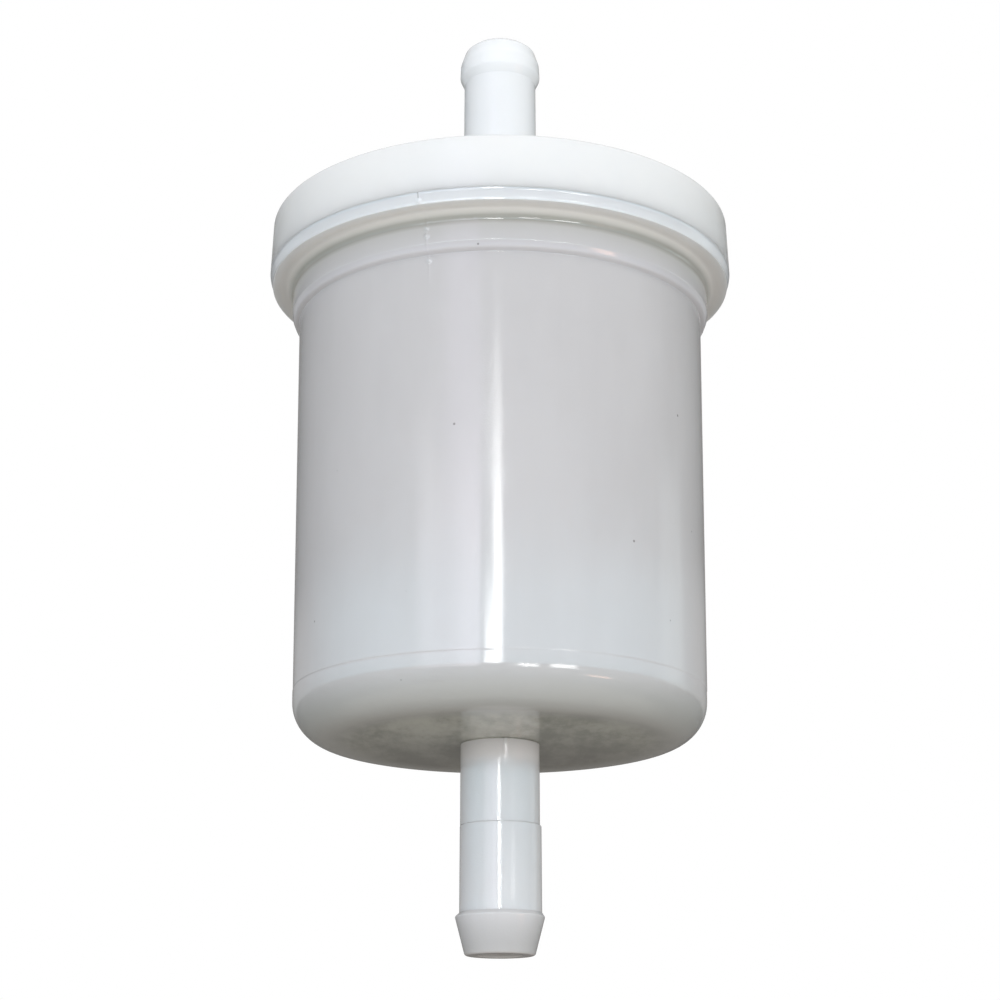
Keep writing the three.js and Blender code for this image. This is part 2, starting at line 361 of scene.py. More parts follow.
# Colours fitted to the photograph, and the heights and radii where they change
WALL_DARK = (0.562, 0.546, 0.546)
WALL_LIGHT = (0.595, 0.579, 0.579)
WALL_FLOW = (0.619, 0.602, 0.602)
WALL_FLOW_SHARE = 0.25
# painted shade: the wall turns greyer round its bottom corner, where it faces down
CORNER_PAINTED_SHADE = (0.462, 0.466, 0.450)
# the underside's colours are painted shade and a painted reflection of the dark room beneath, mottled, and
# darker towards the back
UNDERSIDE_SHADE_DARK = (0.30, 0.31, 0.272)
UNDERSIDE_SHADE_LIGHT = (0.55, 0.558, 0.50)
UNDERSIDE_FAR_SHADE = (0.21, 0.205, 0.185)
# painted shade: the outlet's tip greys towards its mouth, where it turns down
TIP_PAINTED_SHADE = (0.52, 0.51, 0.505)
TUBE_DARK = (0.62, 0.605, 0.605)
TUBE_LIGHT = (0.66, 0.645, 0.645)
# painted light: the outlet tube's root, in the cup's shadow, is painted lighter
TUBE_ROOT_PAINTED_LIGHT = (0.76, 0.75, 0.745)
# painted shade of a notch along the parting line on the flange
NOTCH_PAINTED_SHADE = (0.3, 0.29, 0.27)
CUP_SPECK = (0.16, 0.15, 0.14)
# Where the cup's colours change. Each goes from nothing at its first place to full at its second.
CORNER_SHADE_Z = (23.6 * MM, 19.6 * MM)
FLOOR_Z = (20.0 * MM, 18.95 * MM)
FLOOR_R = (16.6 * MM, 12.5 * MM)
# the underside's painted shade deepens towards the back between these places
UNDERSIDE_FAR_SHADE_Y = (-13 * MM, 14 * MM)
UNDERSIDE_FAR_SHADE_SHARE = 0.75
TUBE_R = (STEM_R + 0.75 * MM, STEM_R + 0.5 * MM)
TUBE_Z = (CUP_BOTTOM_Z - 0.02 * MM, CUP_BOTTOM_Z - 0.12 * MM)
TUBE_ROOT_Z = (16.4 * MM, 17.6 * MM)
TIP_SHADE_Z = (4.2 * MM, 0.6 * MM)
NOTCH_ACROSS = (0.07 * MM, 0.03 * MM)
NOTCH_Z = (63.5 * MM, 63.65 * MM)
NOTCH_SHARE = 0.6
TUBE_MATT_SHARE = 0.7    # the outlet tube has this share of the drag marks' grain
# The band of drag marks down the front of the wall: its left and right edges, and its two ends
DRAG_LEFT_X = (-2.3 * MM, -1.2 * MM)
DRAG_RIGHT_X = (0.5 * MM, -0.5 * MM)
DRAG_LOW_Z = (29 * MM, 43 * MM)
DRAG_TOP_Z = (53 * MM, 49 * MM)
# The cup's rim by height in mm, much of it painted light: the bead with painted light and a bluish painted
# reflection, the collar in painted shade under the flange, the cove's hollow in painted shade with a
# painted warm bounce, the thick white flange with its underside painted brighter, partly its own whiteness
# and partly painted light, and the lip's band with a bluish painted reflection
RIM_LOW = 59.2 * MM
RIM_HIGH = 64.2 * MM
RIM_PAINTED_SHADING = [
    (59.2, (0.62, 0.61, 0.62)),
    (59.5, (0.66, 0.65, 0.67)),
    (59.8, (0.62, 0.61, 0.63)),
    (60.2, (0.565, 0.552, 0.552)),
    (61.0, (0.55, 0.538, 0.53)),
    (61.6, (0.53, 0.517, 0.50)),
    (62.0, (0.395, 0.38, 0.345)),
    (62.4, (0.45, 0.44, 0.40)),
    (62.85, (0.94, 0.94, 0.91)),
    (62.97, (0.87, 0.868, 0.85)),
    (63.04, (0.76, 0.78, 0.795)),
    (63.25, (0.78, 0.80, 0.82)),
]
RIM_FADE = 0.1 * MM

CAP_DARK = (0.812, 0.816, 0.808)
CAP_LIGHT = (0.838, 0.836, 0.823)
CAP_SPECK = (0.4, 0.37, 0.33)
# painted light: the inlet tube is painted whiter than the cap to even out its shading
INLET_PAINTED_LIGHT = (0.915, 0.925, 0.92)
INLET_Z = (69.6 * MM, 70.6 * MM)

ELEMENT_DARK = (0.68, 0.69, 0.66)
ELEMENT_LIGHT = (0.76, 0.77, 0.74)
AMBER_DARK = (0.46, 0.31, 0.11)
AMBER_LIGHT = (0.62, 0.46, 0.2)
PAPER_DARK = (0.68, 0.57, 0.34)
PAPER_LIGHT = (0.78, 0.69, 0.47)
PAPER_FIBRE = (0.86, 0.8, 0.62)
STEEL_DARK = (0.42, 0.43, 0.44)
STEEL_LIGHT = (0.58, 0.59, 0.6)
RUBBER_DARK = (0.014, 0.014, 0.016)
RUBBER_LIGHT = (0.035, 0.035, 0.038)


def rim_painted_shading(n, z):
    """The rim's colours, with their painted shade and painted reflections, blended by height."""
    level = n.new("ShaderNodeMapRange")
    level.inputs["From Min"].default_value = RIM_LOW
    level.inputs["From Max"].default_value = RIM_HIGH
    n.link(z, level.inputs["Value"])
    rim = n.new("ShaderNodeValToRGB")
    n.link(level.outputs["Result"], rim.inputs["Fac"])
    stops = rim.color_ramp.elements
    while len(stops) < len(RIM_PAINTED_SHADING):
        stops.new(0.5)
    for stop, (height, colour) in zip(stops, RIM_PAINTED_SHADING):
        stop.position = (height * MM - RIM_LOW) / (RIM_HIGH - RIM_LOW)
        stop.color = (*colour, 1)
    return rim.outputs["Color"]


def milky_plastic():
    """Translucent milky nylon, white at the thick flange and greyer down the wall, with painted light:
    painted shade on the bottom corner and the outlet's tip, painted shade and a painted reflection that
    make it dark under the floor, painted shade and reflections on the rim, and the tube's root painted
    lighter.
    """
    n = Nodes("milky_plastic")
    x, y, z = n.parts_of_place()
    squares = n.maths("ADD", n.maths("MULTIPLY", x, x), n.maths("MULTIPLY", y, y))
    radius = n.maths("SQRT", squares)
    cloud = n.ranged(n.noise(90, 4, 0.55, (1, 1, 0.45)), 0.3, 0.7)
    flow = n.ranged(n.noise(240, 3, 0.5, (1, 1, 0.12)), 0.35, 0.65)
    body = n.mix(cloud, WALL_DARK, WALL_LIGHT)
    body = n.mix(n.maths("MULTIPLY", flow, WALL_FLOW_SHARE), body, WALL_FLOW)
    # painted shade greys the bottom corner
    body = n.mix(n.ranged(z, *CORNER_SHADE_Z), body, CORNER_PAINTED_SHADE)

    # the underside: painted shade and a painted reflection, mottled, and darker towards the back
    underside_mottle = n.ranged(n.noise(210, 5, 0.66, (1, 0.35, 1)), 0.36, 0.64)
    floor = n.mix(underside_mottle, UNDERSIDE_SHADE_DARK, UNDERSIDE_SHADE_LIGHT)
    floor = n.mix(n.ranged(y, *UNDERSIDE_FAR_SHADE_Y, 0, UNDERSIDE_FAR_SHADE_SHARE), floor, UNDERSIDE_FAR_SHADE)
    floor_part = n.maths("MULTIPLY", n.ranged(z, *FLOOR_Z), n.ranged(radius, *FLOOR_R))
    body = n.mix(floor_part, body, floor)

    tube = n.maths("MULTIPLY", n.ranged(radius, *TUBE_R), n.ranged(z, *TUBE_Z))
    # the tube's root is painted lighter, as painted light
    tube_body = n.mix(n.ranged(z, *TUBE_ROOT_Z), n.mix(cloud, TUBE_DARK, TUBE_LIGHT), TUBE_ROOT_PAINTED_LIGHT)
    body = n.mix(tube, body, tube_body)
    # painted shade on the outlet's tip
    body = n.mix(n.ranged(z, *TIP_SHADE_Z), body, TIP_PAINTED_SHADE)
    # the rim's colours, with painted shade and painted reflections
    body = n.mix(n.ranged(z, RIM_LOW, RIM_LOW + RIM_FADE), body, rim_painted_shading(n, z))

    # a thin line of painted shade, for a notch where the parting line crosses the flange
    across = n.maths("ADD", n.maths("MULTIPLY", x, -math.sin(SEAM)), n.maths("MULTIPLY", y, math.cos(SEAM)))
    notch = n.maths("MULTIPLY", n.ranged(n.maths("ABSOLUTE", across), *NOTCH_ACROSS),
                    n.ranged(z, *NOTCH_Z, 0, NOTCH_SHARE))
    body = n.mix(notch, body, NOTCH_PAINTED_SHADE)
    n.colour(n.speckled(body, 230, 0.035, 0.7, CUP_SPECK))
    n.roughness(n.ranged(n.noise(500, 4, 0.6), 0.3, 0.75, 0.055, 0.13))

    swell = n.bump(n.noise(70, 2, 0.4, (1, 1, 0.5)), 0.03 * MM)
    skin = n.bump(n.noise(4200, 3, 0.7), 0.0022 * MM, under=swell)
    drag = n.maths("MULTIPLY", n.ranged(x, *DRAG_LEFT_X), n.ranged(x, *DRAG_RIGHT_X))
    band = n.maths("MULTIPLY", n.ranged(z, *DRAG_LOW_Z), n.ranged(z, *DRAG_TOP_Z))
    matted = n.maths("MAXIMUM", n.maths("MULTIPLY", drag, band), n.maths("MULTIPLY", tube, TUBE_MATT_SHARE))
    n.normal(n.bump(n.maths("MULTIPLY", n.noise(5200, 2, 0.6), matted), 0.011 * MM, under=skin))
    n.set(IOR=1.53, Subsurface_Weight=0.5, Subsurface_Scale=2 * MM, Subsurface_Radius=(1, 0.97, 0.92))
    return n.material


def white_plastic():
    """Opaque white nylon with a satin moulded skin; the inlet tube is painted whitest, as painted light
    that evens out its shading.
    """
    n = Nodes("white_plastic")
    z = n.parts_of_place()[2]
    body = n.mix(n.ranged(n.noise(110, 4, 0.55), 0.3, 0.7), CAP_DARK, CAP_LIGHT)
    # painted light on the inlet tube
    body = n.mix(n.ranged(z, *INLET_Z), body, INLET_PAINTED_LIGHT)
    n.colour(n.speckled(body, 260, 0.03, 0.5, CAP_SPECK))
    n.roughness(n.ranged(n.noise(420, 4, 0.6), 0.3, 0.7, 0.12, 0.24))
    swell = n.bump(n.noise(80, 2, 0.4), 0.06 * MM)
    n.normal(n.bump(n.noise(2600, 3, 0.6), 0.004 * MM, under=swell))
    n.set(IOR=1.5, Subsurface_Weight=0.8, Subsurface_Scale=4 * MM, Subsurface_Radius=(1, 0.98, 0.95))
    return n.material


def element_plastic():
    """Plain moulded plastic with a dull skin."""
    n = Nodes("element_plastic")
    n.colour(n.mix(n.ranged(n.noise(180, 4, 0.55), 0.3, 0.7), ELEMENT_DARK, ELEMENT_LIGHT))
    n.roughness(n.ranged(n.noise(600, 3, 0.5), 0.3, 0.7, 0.4, 0.55))
    n.normal(n.bump(n.noise(1800, 3, 0.6), 0.01 * MM))
    return n.material


def potting():
    """Amber adhesive that set with a slightly wavy, glossy skin."""
    n = Nodes("potting")
    n.colour(n.mix(n.ranged(n.noise(240, 4, 0.6), 0.3, 0.7), AMBER_DARK, AMBER_LIGHT))
    n.roughness(n.ranged(n.noise(500, 3, 0.5), 0.3, 0.7, 0.18, 0.4))
    n.normal(n.bump(n.noise(700, 3, 0.5), 0.06 * MM))
    n.set(Subsurface_Weight=0.15, Subsurface_Scale=1 * MM)
    return n.material


def filter_paper():
    """Resin-treated cellulose paper: matt and fibrous."""
    n = Nodes("filter_paper")
    fibre = n.noise(1500, 5, 0.7, (1, 1, 0.35))
    body = n.mix(n.ranged(n.noise(300, 4, 0.6), 0.3, 0.7), PAPER_DARK, PAPER_LIGHT)
    n.colour(n.mix(n.ranged(fibre, 0.5, 0.72, 0, 0.5), body, PAPER_FIBRE))
    n.roughness(n.ranged(fibre, 0.3, 0.7, 0.82, 0.98))
    n.normal(n.bump(fibre, 0.05 * MM))
    return n.material


def clip_steel():
    """Plated strip with a grain along its length."""
    n = Nodes("clip_steel")
    grain = n.noise(900, 4, 0.6, (1, 1, 0.05))
    n.colour(n.mix(n.ranged(grain, 0.3, 0.7), STEEL_DARK, STEEL_LIGHT))
    n.roughness(n.ranged(grain, 0.3, 0.7, 0.22, 0.42))
    n.normal(n.bump(grain, 0.01 * MM))
    n.set(Metallic=1.0)
    return n.material


def seal_rubber():
    """Black rubber with a fine dull grain."""
    n = Nodes("seal_rubber")
    grain = n.noise(1400, 4, 0.6)
    n.colour(n.mix(n.ranged(grain, 0.3, 0.7), RUBBER_DARK, RUBBER_LIGHT))
    n.roughness(n.ranged(grain, 0.3, 0.7, 0.5, 0.75))
    n.normal(n.bump(grain, 0.02 * MM))
    return n.material


# ---------------------------------------------------------------- the two housings

def mould_seam(radius, height, angle):
    """How far the parting line stands out at a point of the cup's outside."""
    rise = 0.0
    for seam in SEAMS:
        across = abs(angle_off(angle, seam)) * radius
        fade = smoothstep(SEAM_LOW_Z - SEAM_FADE, SEAM_LOW_Z + SEAM_FADE, height)
        uneven = 0.5 + 0.4 * noise.noise(Vector((height * SEAM_WAVES, seam, 0)))
        line = SEAM_HEIGHT * uneven * fade * (1 - smoothstep(0, SEAM_HALF_WIDTH, across))
        tent = BLOB_RISE * max(0.0, 1 - across / BLOB_HALF_WIDTH)
        for level, lean in SEAM_BLOBS:
            above = (height - level * MM) / BLOB_HALF_HEIGHT
            line = max(line, tent * (1 + lean * above) * (1 - smoothstep(0.55, 1, abs(above))))
        rise += line
    return rise


def shape_cup(radius, height, angle, place):
    """The small faults of a real moulding: its seams, a shifted lower half, a web and an offset sleeve."""
    outward = Vector((math.cos(angle), math.sin(angle), 0))
    if height > SEAM_PART_Z and radius > OUTSIDE_R:
        place = place + outward * mould_seam(radius, height, angle)
    if radius > LOWER_HALF_R and height < MOULD_RING_Z + 0.2 * MM:
        share = smoothstep(MOULD_RING_Z + 0.02 * MM, MOULD_RING_Z - 0.12 * MM, height)
        place = place + Vector((LOWER_HALF_SHIFT * share, 0, 0))
    if radius > OUTSIDE_R:
        place = place - outward * (RING_DEPTH * bump_at(MOULD_RING_Z, RING_HALF_HEIGHT, height))
    if SLEEVE_INNER_R < radius < SLEEVE_OUTER_R and SLEEVE_LOW_Z < height < SLEEVE_TOP_Z:
        place = place + Vector((SLEEVE_SHIFT, 0, 0))
    if abs(radius - STEM_R) < 0.01 * MM and height > WEB_LOW_Z:
        across = abs(angle_off(angle, WEB)) * radius
        ramp = (height - WEB_LOW_Z) / (CUP_BOTTOM_Z - WEB_LOW_Z)
        place = place + outward * (WEB_RISE * ramp * (1 - smoothstep(WEB_FLAT, WEB_FOOT, across)))
    return place


def wall_radius(z):
    """The cup's outside tapers evenly from its top down to its bottom."""
    return CUP_BOTTOM_R + (CUP_TOP_R - CUP_BOTTOM_R) * (z - CUP_BOTTOM_Z) / (CUP_TOP_Z - CUP_BOTTOM_Z)


def cup_stretch(a, b):
    """The longest stretch of the cup's outline: short on the rim's outside, long on the hidden inside."""
    if min(a.x, b.x) > OUTSIDE_R and min(a.y, b.y) > WALL_FINE_Z - MATCHING:
        return RIM_STRETCH
    if max(a.x, b.x) < INSIDE_R and min(a.y, b.y) > FLOOR_TUBE_Z - 0.1 * MM:
        return HIDDEN_STRETCH
    return None


def cup_outline():
    """The cup's section. Each corner is a radius, a height and its rounding."""
    ring = [(wall_radius(MOULD_RING_Z + d * MM), MOULD_RING_Z + d * MM, 0) for d in RING_OFFSETS]
    socket_z = COLLAR_LOW.z + 2.3 * MM
    outside = [
        # the outlet tube: its mouth, its barb, its sleeve and its stem
        (BORE_R, 0, BORE_EDGE),
        (3.14 * MM, 0, 0.28 * MM),
        (4.02 * MM, 3.38 * MM, 0.16 * MM),
        (3.70 * MM, 3.74 * MM, 0.1 * MM),
        (3.68 * MM, SLEEVE_TOP_Z - 0.1 * MM, 0.05 * MM),
        (STEM_R, SLEEVE_TOP_Z, 0.04 * MM),
        (STEM_R, WEB_LOW_Z, 0),
        (STEM_R, CUP_BOTTOM_Z, 0.04 * MM),
        # the corner and the wall
        (CUP_BOTTOM_R, CUP_BOTTOM_Z, CORNER_ROUNDING),
        (wall_radius(CORNER_TOP_Z), CORNER_TOP_Z, 0),
        *ring,
        (wall_radius(WALL_FINE_Z), WALL_FINE_Z, 0),
        (CUP_TOP_R, CUP_TOP_Z, 0.12 * MM),
        # the bead, the collar and the cove
        (19.74 * MM, 59.55 * MM, 0.35 * MM),
        (19.96 * MM, 60.1 * MM, 0.35 * MM),
        (19.97 * MM, 62.9 * MM, 1.0 * MM),
        # the flange's lip, up to the joint line
        (21.935 * MM, 63.02 * MM, 0.04 * MM),
        (21.955 * MM, 63.22 * MM, 0),
        (22.155 * MM, 63.87 * MM, 0),
        (FLANGE_R - 0.012 * MM, JOINT_Z - 0.02 * MM, 0),
        (FLANGE_R - 0.024 * MM, JOINT_Z, 0),
    ]
    inside = [
        (17.68 * MM, JOINT_Z, 0.1 * MM),
        (17.3 * MM, FLOOR_TOP_Z, 2.0 * MM),
        (SOCKET_R, FLOOR_TOP_Z, 0.3 * MM),
        (SOCKET_R, socket_z, 0.15 * MM),
        (SOCKET_STEP_R, socket_z, 0.15 * MM),
        (SOCKET_STEP_R, FLOOR_TUBE_Z, 0.2 * MM),
        (BORE_R, FLOOR_TUBE_Z, BORE_EDGE),
    ]
    return divided(rounded(outside + inside, hidden_from=len(outside)), WALL_STRETCH, cup_stretch)


def cap_outline():
    """The cap's section, in the same form."""
    tip = CAP_HIGH.z
    return divided(rounded([
        # the skirt inside the cup, and the flange
        (CAP_SKIRT_INNER_R, CAP_LOW.z, 0.2 * MM),
        (CAP_SKIRT_OUTER_R, CAP_LOW.z, 0.3 * MM),
        (CAP_SKIRT_OUTER_R, JOINT_Z, 0),
        (FLANGE_R - 0.02 * MM, JOINT_Z, 0),
        (FLANGE_R, JOINT_Z + 0.04 * MM, 0.02 * MM),
        (22.0 * MM, CAP_TOP_Z, 0.35 * MM),
        # the inlet tube, its barb and its mouth
        (3.58 * MM, CAP_TOP_Z, 0.3 * MM),
        (3.54 * MM, tip - 4.1 * MM, 0.15 * MM),
        (3.96 * MM, tip - 3.2 * MM, 0.6 * MM),
        (3.9 * MM, tip - 1.9 * MM, 1.0 * MM),
        (3.45 * MM, tip - 0.55 * MM, 0.7 * MM),
        (2.75 * MM, tip, 0.45 * MM),
        (BORE_R, tip, 0.12 * MM),
        # the inside
        (BORE_R, CAP_CEILING_Z, BORE_EDGE),
        (CAP_SKIRT_INNER_R, CAP_CEILING_Z, 1.0 * MM),
    ]), WALL_STRETCH)


def shape_cap(radius, height, angle, place):
    """Faint sinks in the cap's top over the ribs beneath it."""
    if height > CAP_TOP_Z - 0.1 * MM and SINK_INNER_R < radius < SINK_OUTER_R:
        half_pitch = TAU / RIBS / 2
        off = abs((angle + half_pitch) % (2 * half_pitch) - half_pitch) * radius
        place = place - Vector((0, 0, SINK_DEPTH * bump_at(0, SINK_HALF_WIDTH, off)))
    return place


# ---------------------------------------------------------------- the element

BED_INNER_R = 5.05 * MM
BED_EDGE = 0.1 * MM
LOWER_BED_DISH = 0.12 * MM


def potting_bed(low, high, dish=0.0):
    """A flat ring that fills a node's box, with its upper face dished by that much."""
    outer_r = high.x
    points = divided(rounded([
        (BED_INNER_R, low.z, BED_EDGE),
        (outer_r, low.z, BED_EDGE),
        (outer_r, high.z, BED_EDGE),
        (BED_INNER_R, high.z, BED_EDGE),
    ], 4), 0.9 * MM)
    middle = (BED_INNER_R + outer_r) / 2
    half = (outer_r - BED_INNER_R) / 2

    def dished(radius, height, angle, place):
        if height > high.z - MATCHING:
            place = place - Vector((0, 0, dish * bump_at(middle, half, radius)))
        return place
    return lathe(points, angles_round(120), dished)


DISC_PLATE = 1.3 * MM
DISC_RIM = 0.7 * MM
DISC_EDGE = 0.2 * MM
DISC_OUTER_EDGE = 0.35 * MM
COLLAR_DECK_DEPTH = 1.6 * MM
SPIGOT_R = 2.6 * MM
AXIS_R = 0.01 * MM    # a closed disc's section starts this near the axis


def closed_disc(low, high):
    """The plate over the paper's upper end, with its rim turned down."""
    outer, inner = high.x, high.x - DISC_RIM
    deck = high.z - DISC_PLATE
    return disc([
        (AXIS_R, deck, 0), (inner, deck, DISC_EDGE), (inner, low.z, DISC_EDGE),
        (outer, low.z, DISC_EDGE), (outer, high.z, DISC_OUTER_EDGE), (AXIS_R, high.z, 0),
    ])


def open_collar(low, high):
    """The plate under the paper's lower end, with its rim turned up and the spigot below it."""
    outer, inner = high.x, high.x - DISC_RIM
    deck = high.z - COLLAR_DECK_DEPTH
    under = deck - DISC_PLATE
    return disc([
        (BORE_R, low.z, 0.1 * MM), (SPIGOT_R, low.z, DISC_EDGE), (SPIGOT_R, under, DISC_EDGE),
        (outer, under, DISC_OUTER_EDGE), (outer, high.z, DISC_EDGE), (inner, high.z, DISC_EDGE),
        (inner, deck, DISC_EDGE), (BORE_R, deck, 0.1 * MM),
    ])


def disc(corners):
    return lathe(divided(rounded(corners, 5), 1.5 * MM), angles_round(144))


WAVES_ACROSS = 300    # how fast a sheet's waviness varies, per metre
WAVES_ALONG = 120
SHARPEST_MITRE = 0.3


def ribbon(line, thickness, low_z, high_z, rows, wave):
    """A sheet of even thickness that stands on a line of (x, y) points. wave is its share of waviness."""
    directions = [(b - a).normalized() for a, b in zip(line, line[1:])]
    sides = []
    for sign in (1, -1):
        side = []
        for i, point in enumerate(line):
            into, out = directions[max(i - 1, 0)], directions[min(i, len(directions) - 1)]
            along = (into + out).normalized()
            mitre = thickness / 2 / max(SHARPEST_MITRE, along.dot(out))
            side.append(point + Vector((-along.y, along.x)) * (mitre * sign))
        sides.append(side)
    loop = sides[0] + sides[1][::-1]
    bm = bmesh.new()
    rings = []
    for row in range(rows + 1):
        z = low_z + (high_z - low_z) * row / rows
        edge = math.sin(math.pi * row / rows)
        ring = []
        for point in loop:
            spot = Vector((point.x * WAVES_ACROSS, point.y * WAVES_ACROSS, z * WAVES_ALONG))
            drift = wave * edge * noise.noise(spot)
            ring.append(bm.verts.new((point.x * (1 - drift), point.y * (1 - drift), z)))
        rings.append(ring)
    for lower, upper in zip(rings, rings[1:]):
        for j in range(len(loop)):
            k = (j + 1) % len(loop)
            bm.faces.new((lower[j], lower[k], upper[k], upper[j]))
    count = len(line)
    for ring in (rings[0], rings[-1]):
        for j in range(count - 1):
            bm.faces.new((ring[j], ring[j + 1], ring[2 * count - 2 - j], ring[2 * count - 1 - j]))
    return bm


PLEATS = 30
PAPER_THICKNESS = 0.3 * MM
PAPER_ROWS = 14
PAPER_WAVE = 0.01
PLEAT_INNER_R = 5.7 * MM
PLEAT_OUTER_R = 13.9 * MM
FOLD_R = 0.25 * MM
FOLD_STEPS = 6


def pleat_line():
    """The sheet's centre line, with round folds, and its two ends side by side at the seam."""
    line = []
    pitch = TAU / PLEATS

    def fold(radius, angle, outer):
        middle = Vector((math.cos(angle), math.sin(angle)))
        across = Vector((-middle.y, middle.x))
        bulge = FOLD_R if outer else -FOLD_R
        for step in range(FOLD_STEPS + 1):
            a = math.pi * step / FOLD_STEPS
            line.append(middle * (radius - bulge + bulge * math.sin(a)) - across * FOLD_R * math.cos(a))

    line.append(Vector((PLEAT_OUTER_R, FOLD_R)))
    for i in range(PLEATS):
        fold(PLEAT_INNER_R, (i + 0.5) * pitch, False)
        if i < PLEATS - 1:
            fold(PLEAT_OUTER_R, (i + 1) * pitch, True)
    line.append(Vector((PLEAT_OUTER_R, -FOLD_R)))
    return line


CLIP_THICKNESS = 0.25 * MM
CLIP_BEND_R = 0.2 * MM
CLIP_BEND_STEPS = 4
CLIP_ROWS = 8


def clip_line():
    """The seam clip's section: a strip bent round the sheet's two ends."""
    half = CLIP_HIGH.y - CLIP_THICKNESS / 2
    end_x = CLIP_HIGH.x - CLIP_THICKNESS / 2
    line = [Vector((CLIP_LOW.x, -half))]
    for sign, first in ((-1, -90), (1, 0)):
        for step in range(CLIP_BEND_STEPS + 1):
            a = math.radians(first + 90 * step / CLIP_BEND_STEPS)
            line.append(Vector((end_x - CLIP_BEND_R + CLIP_BEND_R * math.cos(a),
                                sign * (half - CLIP_BEND_R) + CLIP_BEND_R * math.sin(a))))
    line.append(Vector((CLIP_LOW.x, half)))
    return line


CORE_WALL = 0.8 * MM
HOLE_R = 1.0 * MM
HOLE_COLUMNS = 12
HOLE_ROWS = 7
CELL_STEPS = 4


def square_rim(half_w, half_h):
    """Points round a rectangle, CELL_STEPS to a side, from its lower left corner anticlockwise."""
    corners = [(-half_w, -half_h), (half_w, -half_h), (half_w, half_h), (-half_w, half_h)]
    rim = []
    for i, (x, y) in enumerate(corners):
        nx, ny = corners[(i + 1) % 4]
        rim += [(x + (nx - x) * k / CELL_STEPS, y + (ny - y) * k / CELL_STEPS) for k in range(CELL_STEPS)]
    return rim


def perforated_tube():
    """The core: a grid of cells round a tube, every other one with a round hole through the wall."""
    outer = CORE_HIGH.x
    inner = outer - CORE_WALL
    middle = (outer + inner) / 2
    half_w = math.pi * middle / HOLE_COLUMNS
    band_low, band_high = PAPER_LOW.z, PAPER_HIGH.z
    half_h = (band_high - band_low) / HOLE_ROWS / 2
    bm = bmesh.new()

    def put(u, z, radius):
        angle = u / middle
        return bm.verts.new((radius * math.cos(angle), radius * math.sin(angle), z))

    for column in range(HOLE_COLUMNS):
        for row in range(HOLE_ROWS):
            u0 = (2 * column + 1) * half_w
            z0 = band_low + (2 * row + 1) * half_h
            rim = square_rim(half_w, half_h)
            rings = []
            for radius in (outer, inner):
                outside = [put(u0 + x, z0 + y, radius) for x, y in rim]
                hole = []
                for x, y in rim:
                    reach = HOLE_R / math.hypot(x, y)
                    hole.append(put(u0 + x * reach, z0 + y * reach, radius))
                rings.append((outside, hole))
                has_hole = (column + row) % 2 == 0
                for j in range(len(rim)):
                    k = (j + 1) % len(rim)
                    bm.faces.new((outside[j], outside[k], hole[k], hole[j]))
                if not has_hole:
                    bm.faces.new(hole)
            if has_hole:
                for j in range(len(rim)):
                    k = (j + 1) % len(rim)
                    bm.faces.new((rings[0][1][j], rings[0][1][k], rings[1][1][k], rings[1][1][j]))
    steps = HOLE_COLUMNS * CELL_STEPS
    for near, far in ((band_low, CORE_LOW.z), (band_high, CORE_HIGH.z)):
        loops = [[put(2 * half_w * i / CELL_STEPS, z, radius) for i in range(steps)]
                 for radius, z in ((outer, near), (outer, far), (inner, far), (inner, near))]
        for a, b in zip(loops, loops[1:]):
            for j in range(steps):
                k = (j + 1) % steps
                bm.faces.new((a[j], a[k], b[k], b[j]))
    bmesh.ops.remove_doubles(bm, verts=bm.verts, dist=MATCHING)
    return bm


SEAL_INNER_R = 2.65 * MM
SEAL_STEPS = 24


def seal_ring():
    """A round rubber ring as thick as the seal node is tall."""
    middle = (SEAL_HIGH.x + SEAL_INNER_R) / 2
    section = (SEAL_HIGH.z - SEAL_LOW.z) / 2
    centre_z = (SEAL_HIGH.z + SEAL_LOW.z) / 2
    turns = [TAU * i / SEAL_STEPS for i in range(SEAL_STEPS)]
    points = [Vector((middle + section * math.cos(a), centre_z + section * math.sin(a))) for a in turns]
    return lathe(points, angles_round(96))


# ---------------------------------------------------------------- the pieces

# The cup's angles are closer together at its two parting lines
CUP_ANGLES = angles_round(256, SEAMS, BLOB_HALF_WIDTH / FLANGE_R * 1.2, 10)
CAP_ANGLES = angles_round(240)

MILKY = milky_plastic()
WHITE = white_plastic()
ELEMENT = element_plastic()
AMBER = potting()

add_piece("cup_moulding", lathe(cup_outline(), CUP_ANGLES, shape_cup), MILKY,
          ["cup_housing"])
add_piece("cap_moulding", lathe(cap_outline(), CAP_ANGLES, shape_cap), WHITE,
          ["cap_housing"])
add_piece("closed_end_disc", closed_disc(TRAY_LOW, TRAY_HIGH), ELEMENT,
          ["top_end_disc"])
add_piece("open_end_collar", open_collar(COLLAR_LOW, COLLAR_HIGH), ELEMENT,
          ["bottom_end_collar"])
add_piece("upper_potting", potting_bed(TOP_BED_LOW, TOP_BED_HIGH), AMBER,
          ["top_potting"])
add_piece("lower_potting", potting_bed(LOW_BED_LOW, LOW_BED_HIGH, LOWER_BED_DISH), AMBER,
          ["bottom_potting"])
add_piece("perforated_core", perforated_tube(), ELEMENT, ["core_tube"])
paper = ribbon(pleat_line(), PAPER_THICKNESS, PAPER_LOW.z, PAPER_HIGH.z, PAPER_ROWS, PAPER_WAVE)
add_piece("paper_pleats", paper, filter_paper(), ["pleated_paper"], 50)
clip = ribbon(clip_line(), CLIP_THICKNESS, CLIP_LOW.z, CLIP_HIGH.z, CLIP_ROWS, 0)
add_piece("seam_clip", clip, clip_steel(), ["pleat_seam_clip"])
add_piece("spigot_o_ring", seal_ring(), seal_rubber(), ["spigot_seal"])


# ---------------------------------------------------------------- studio

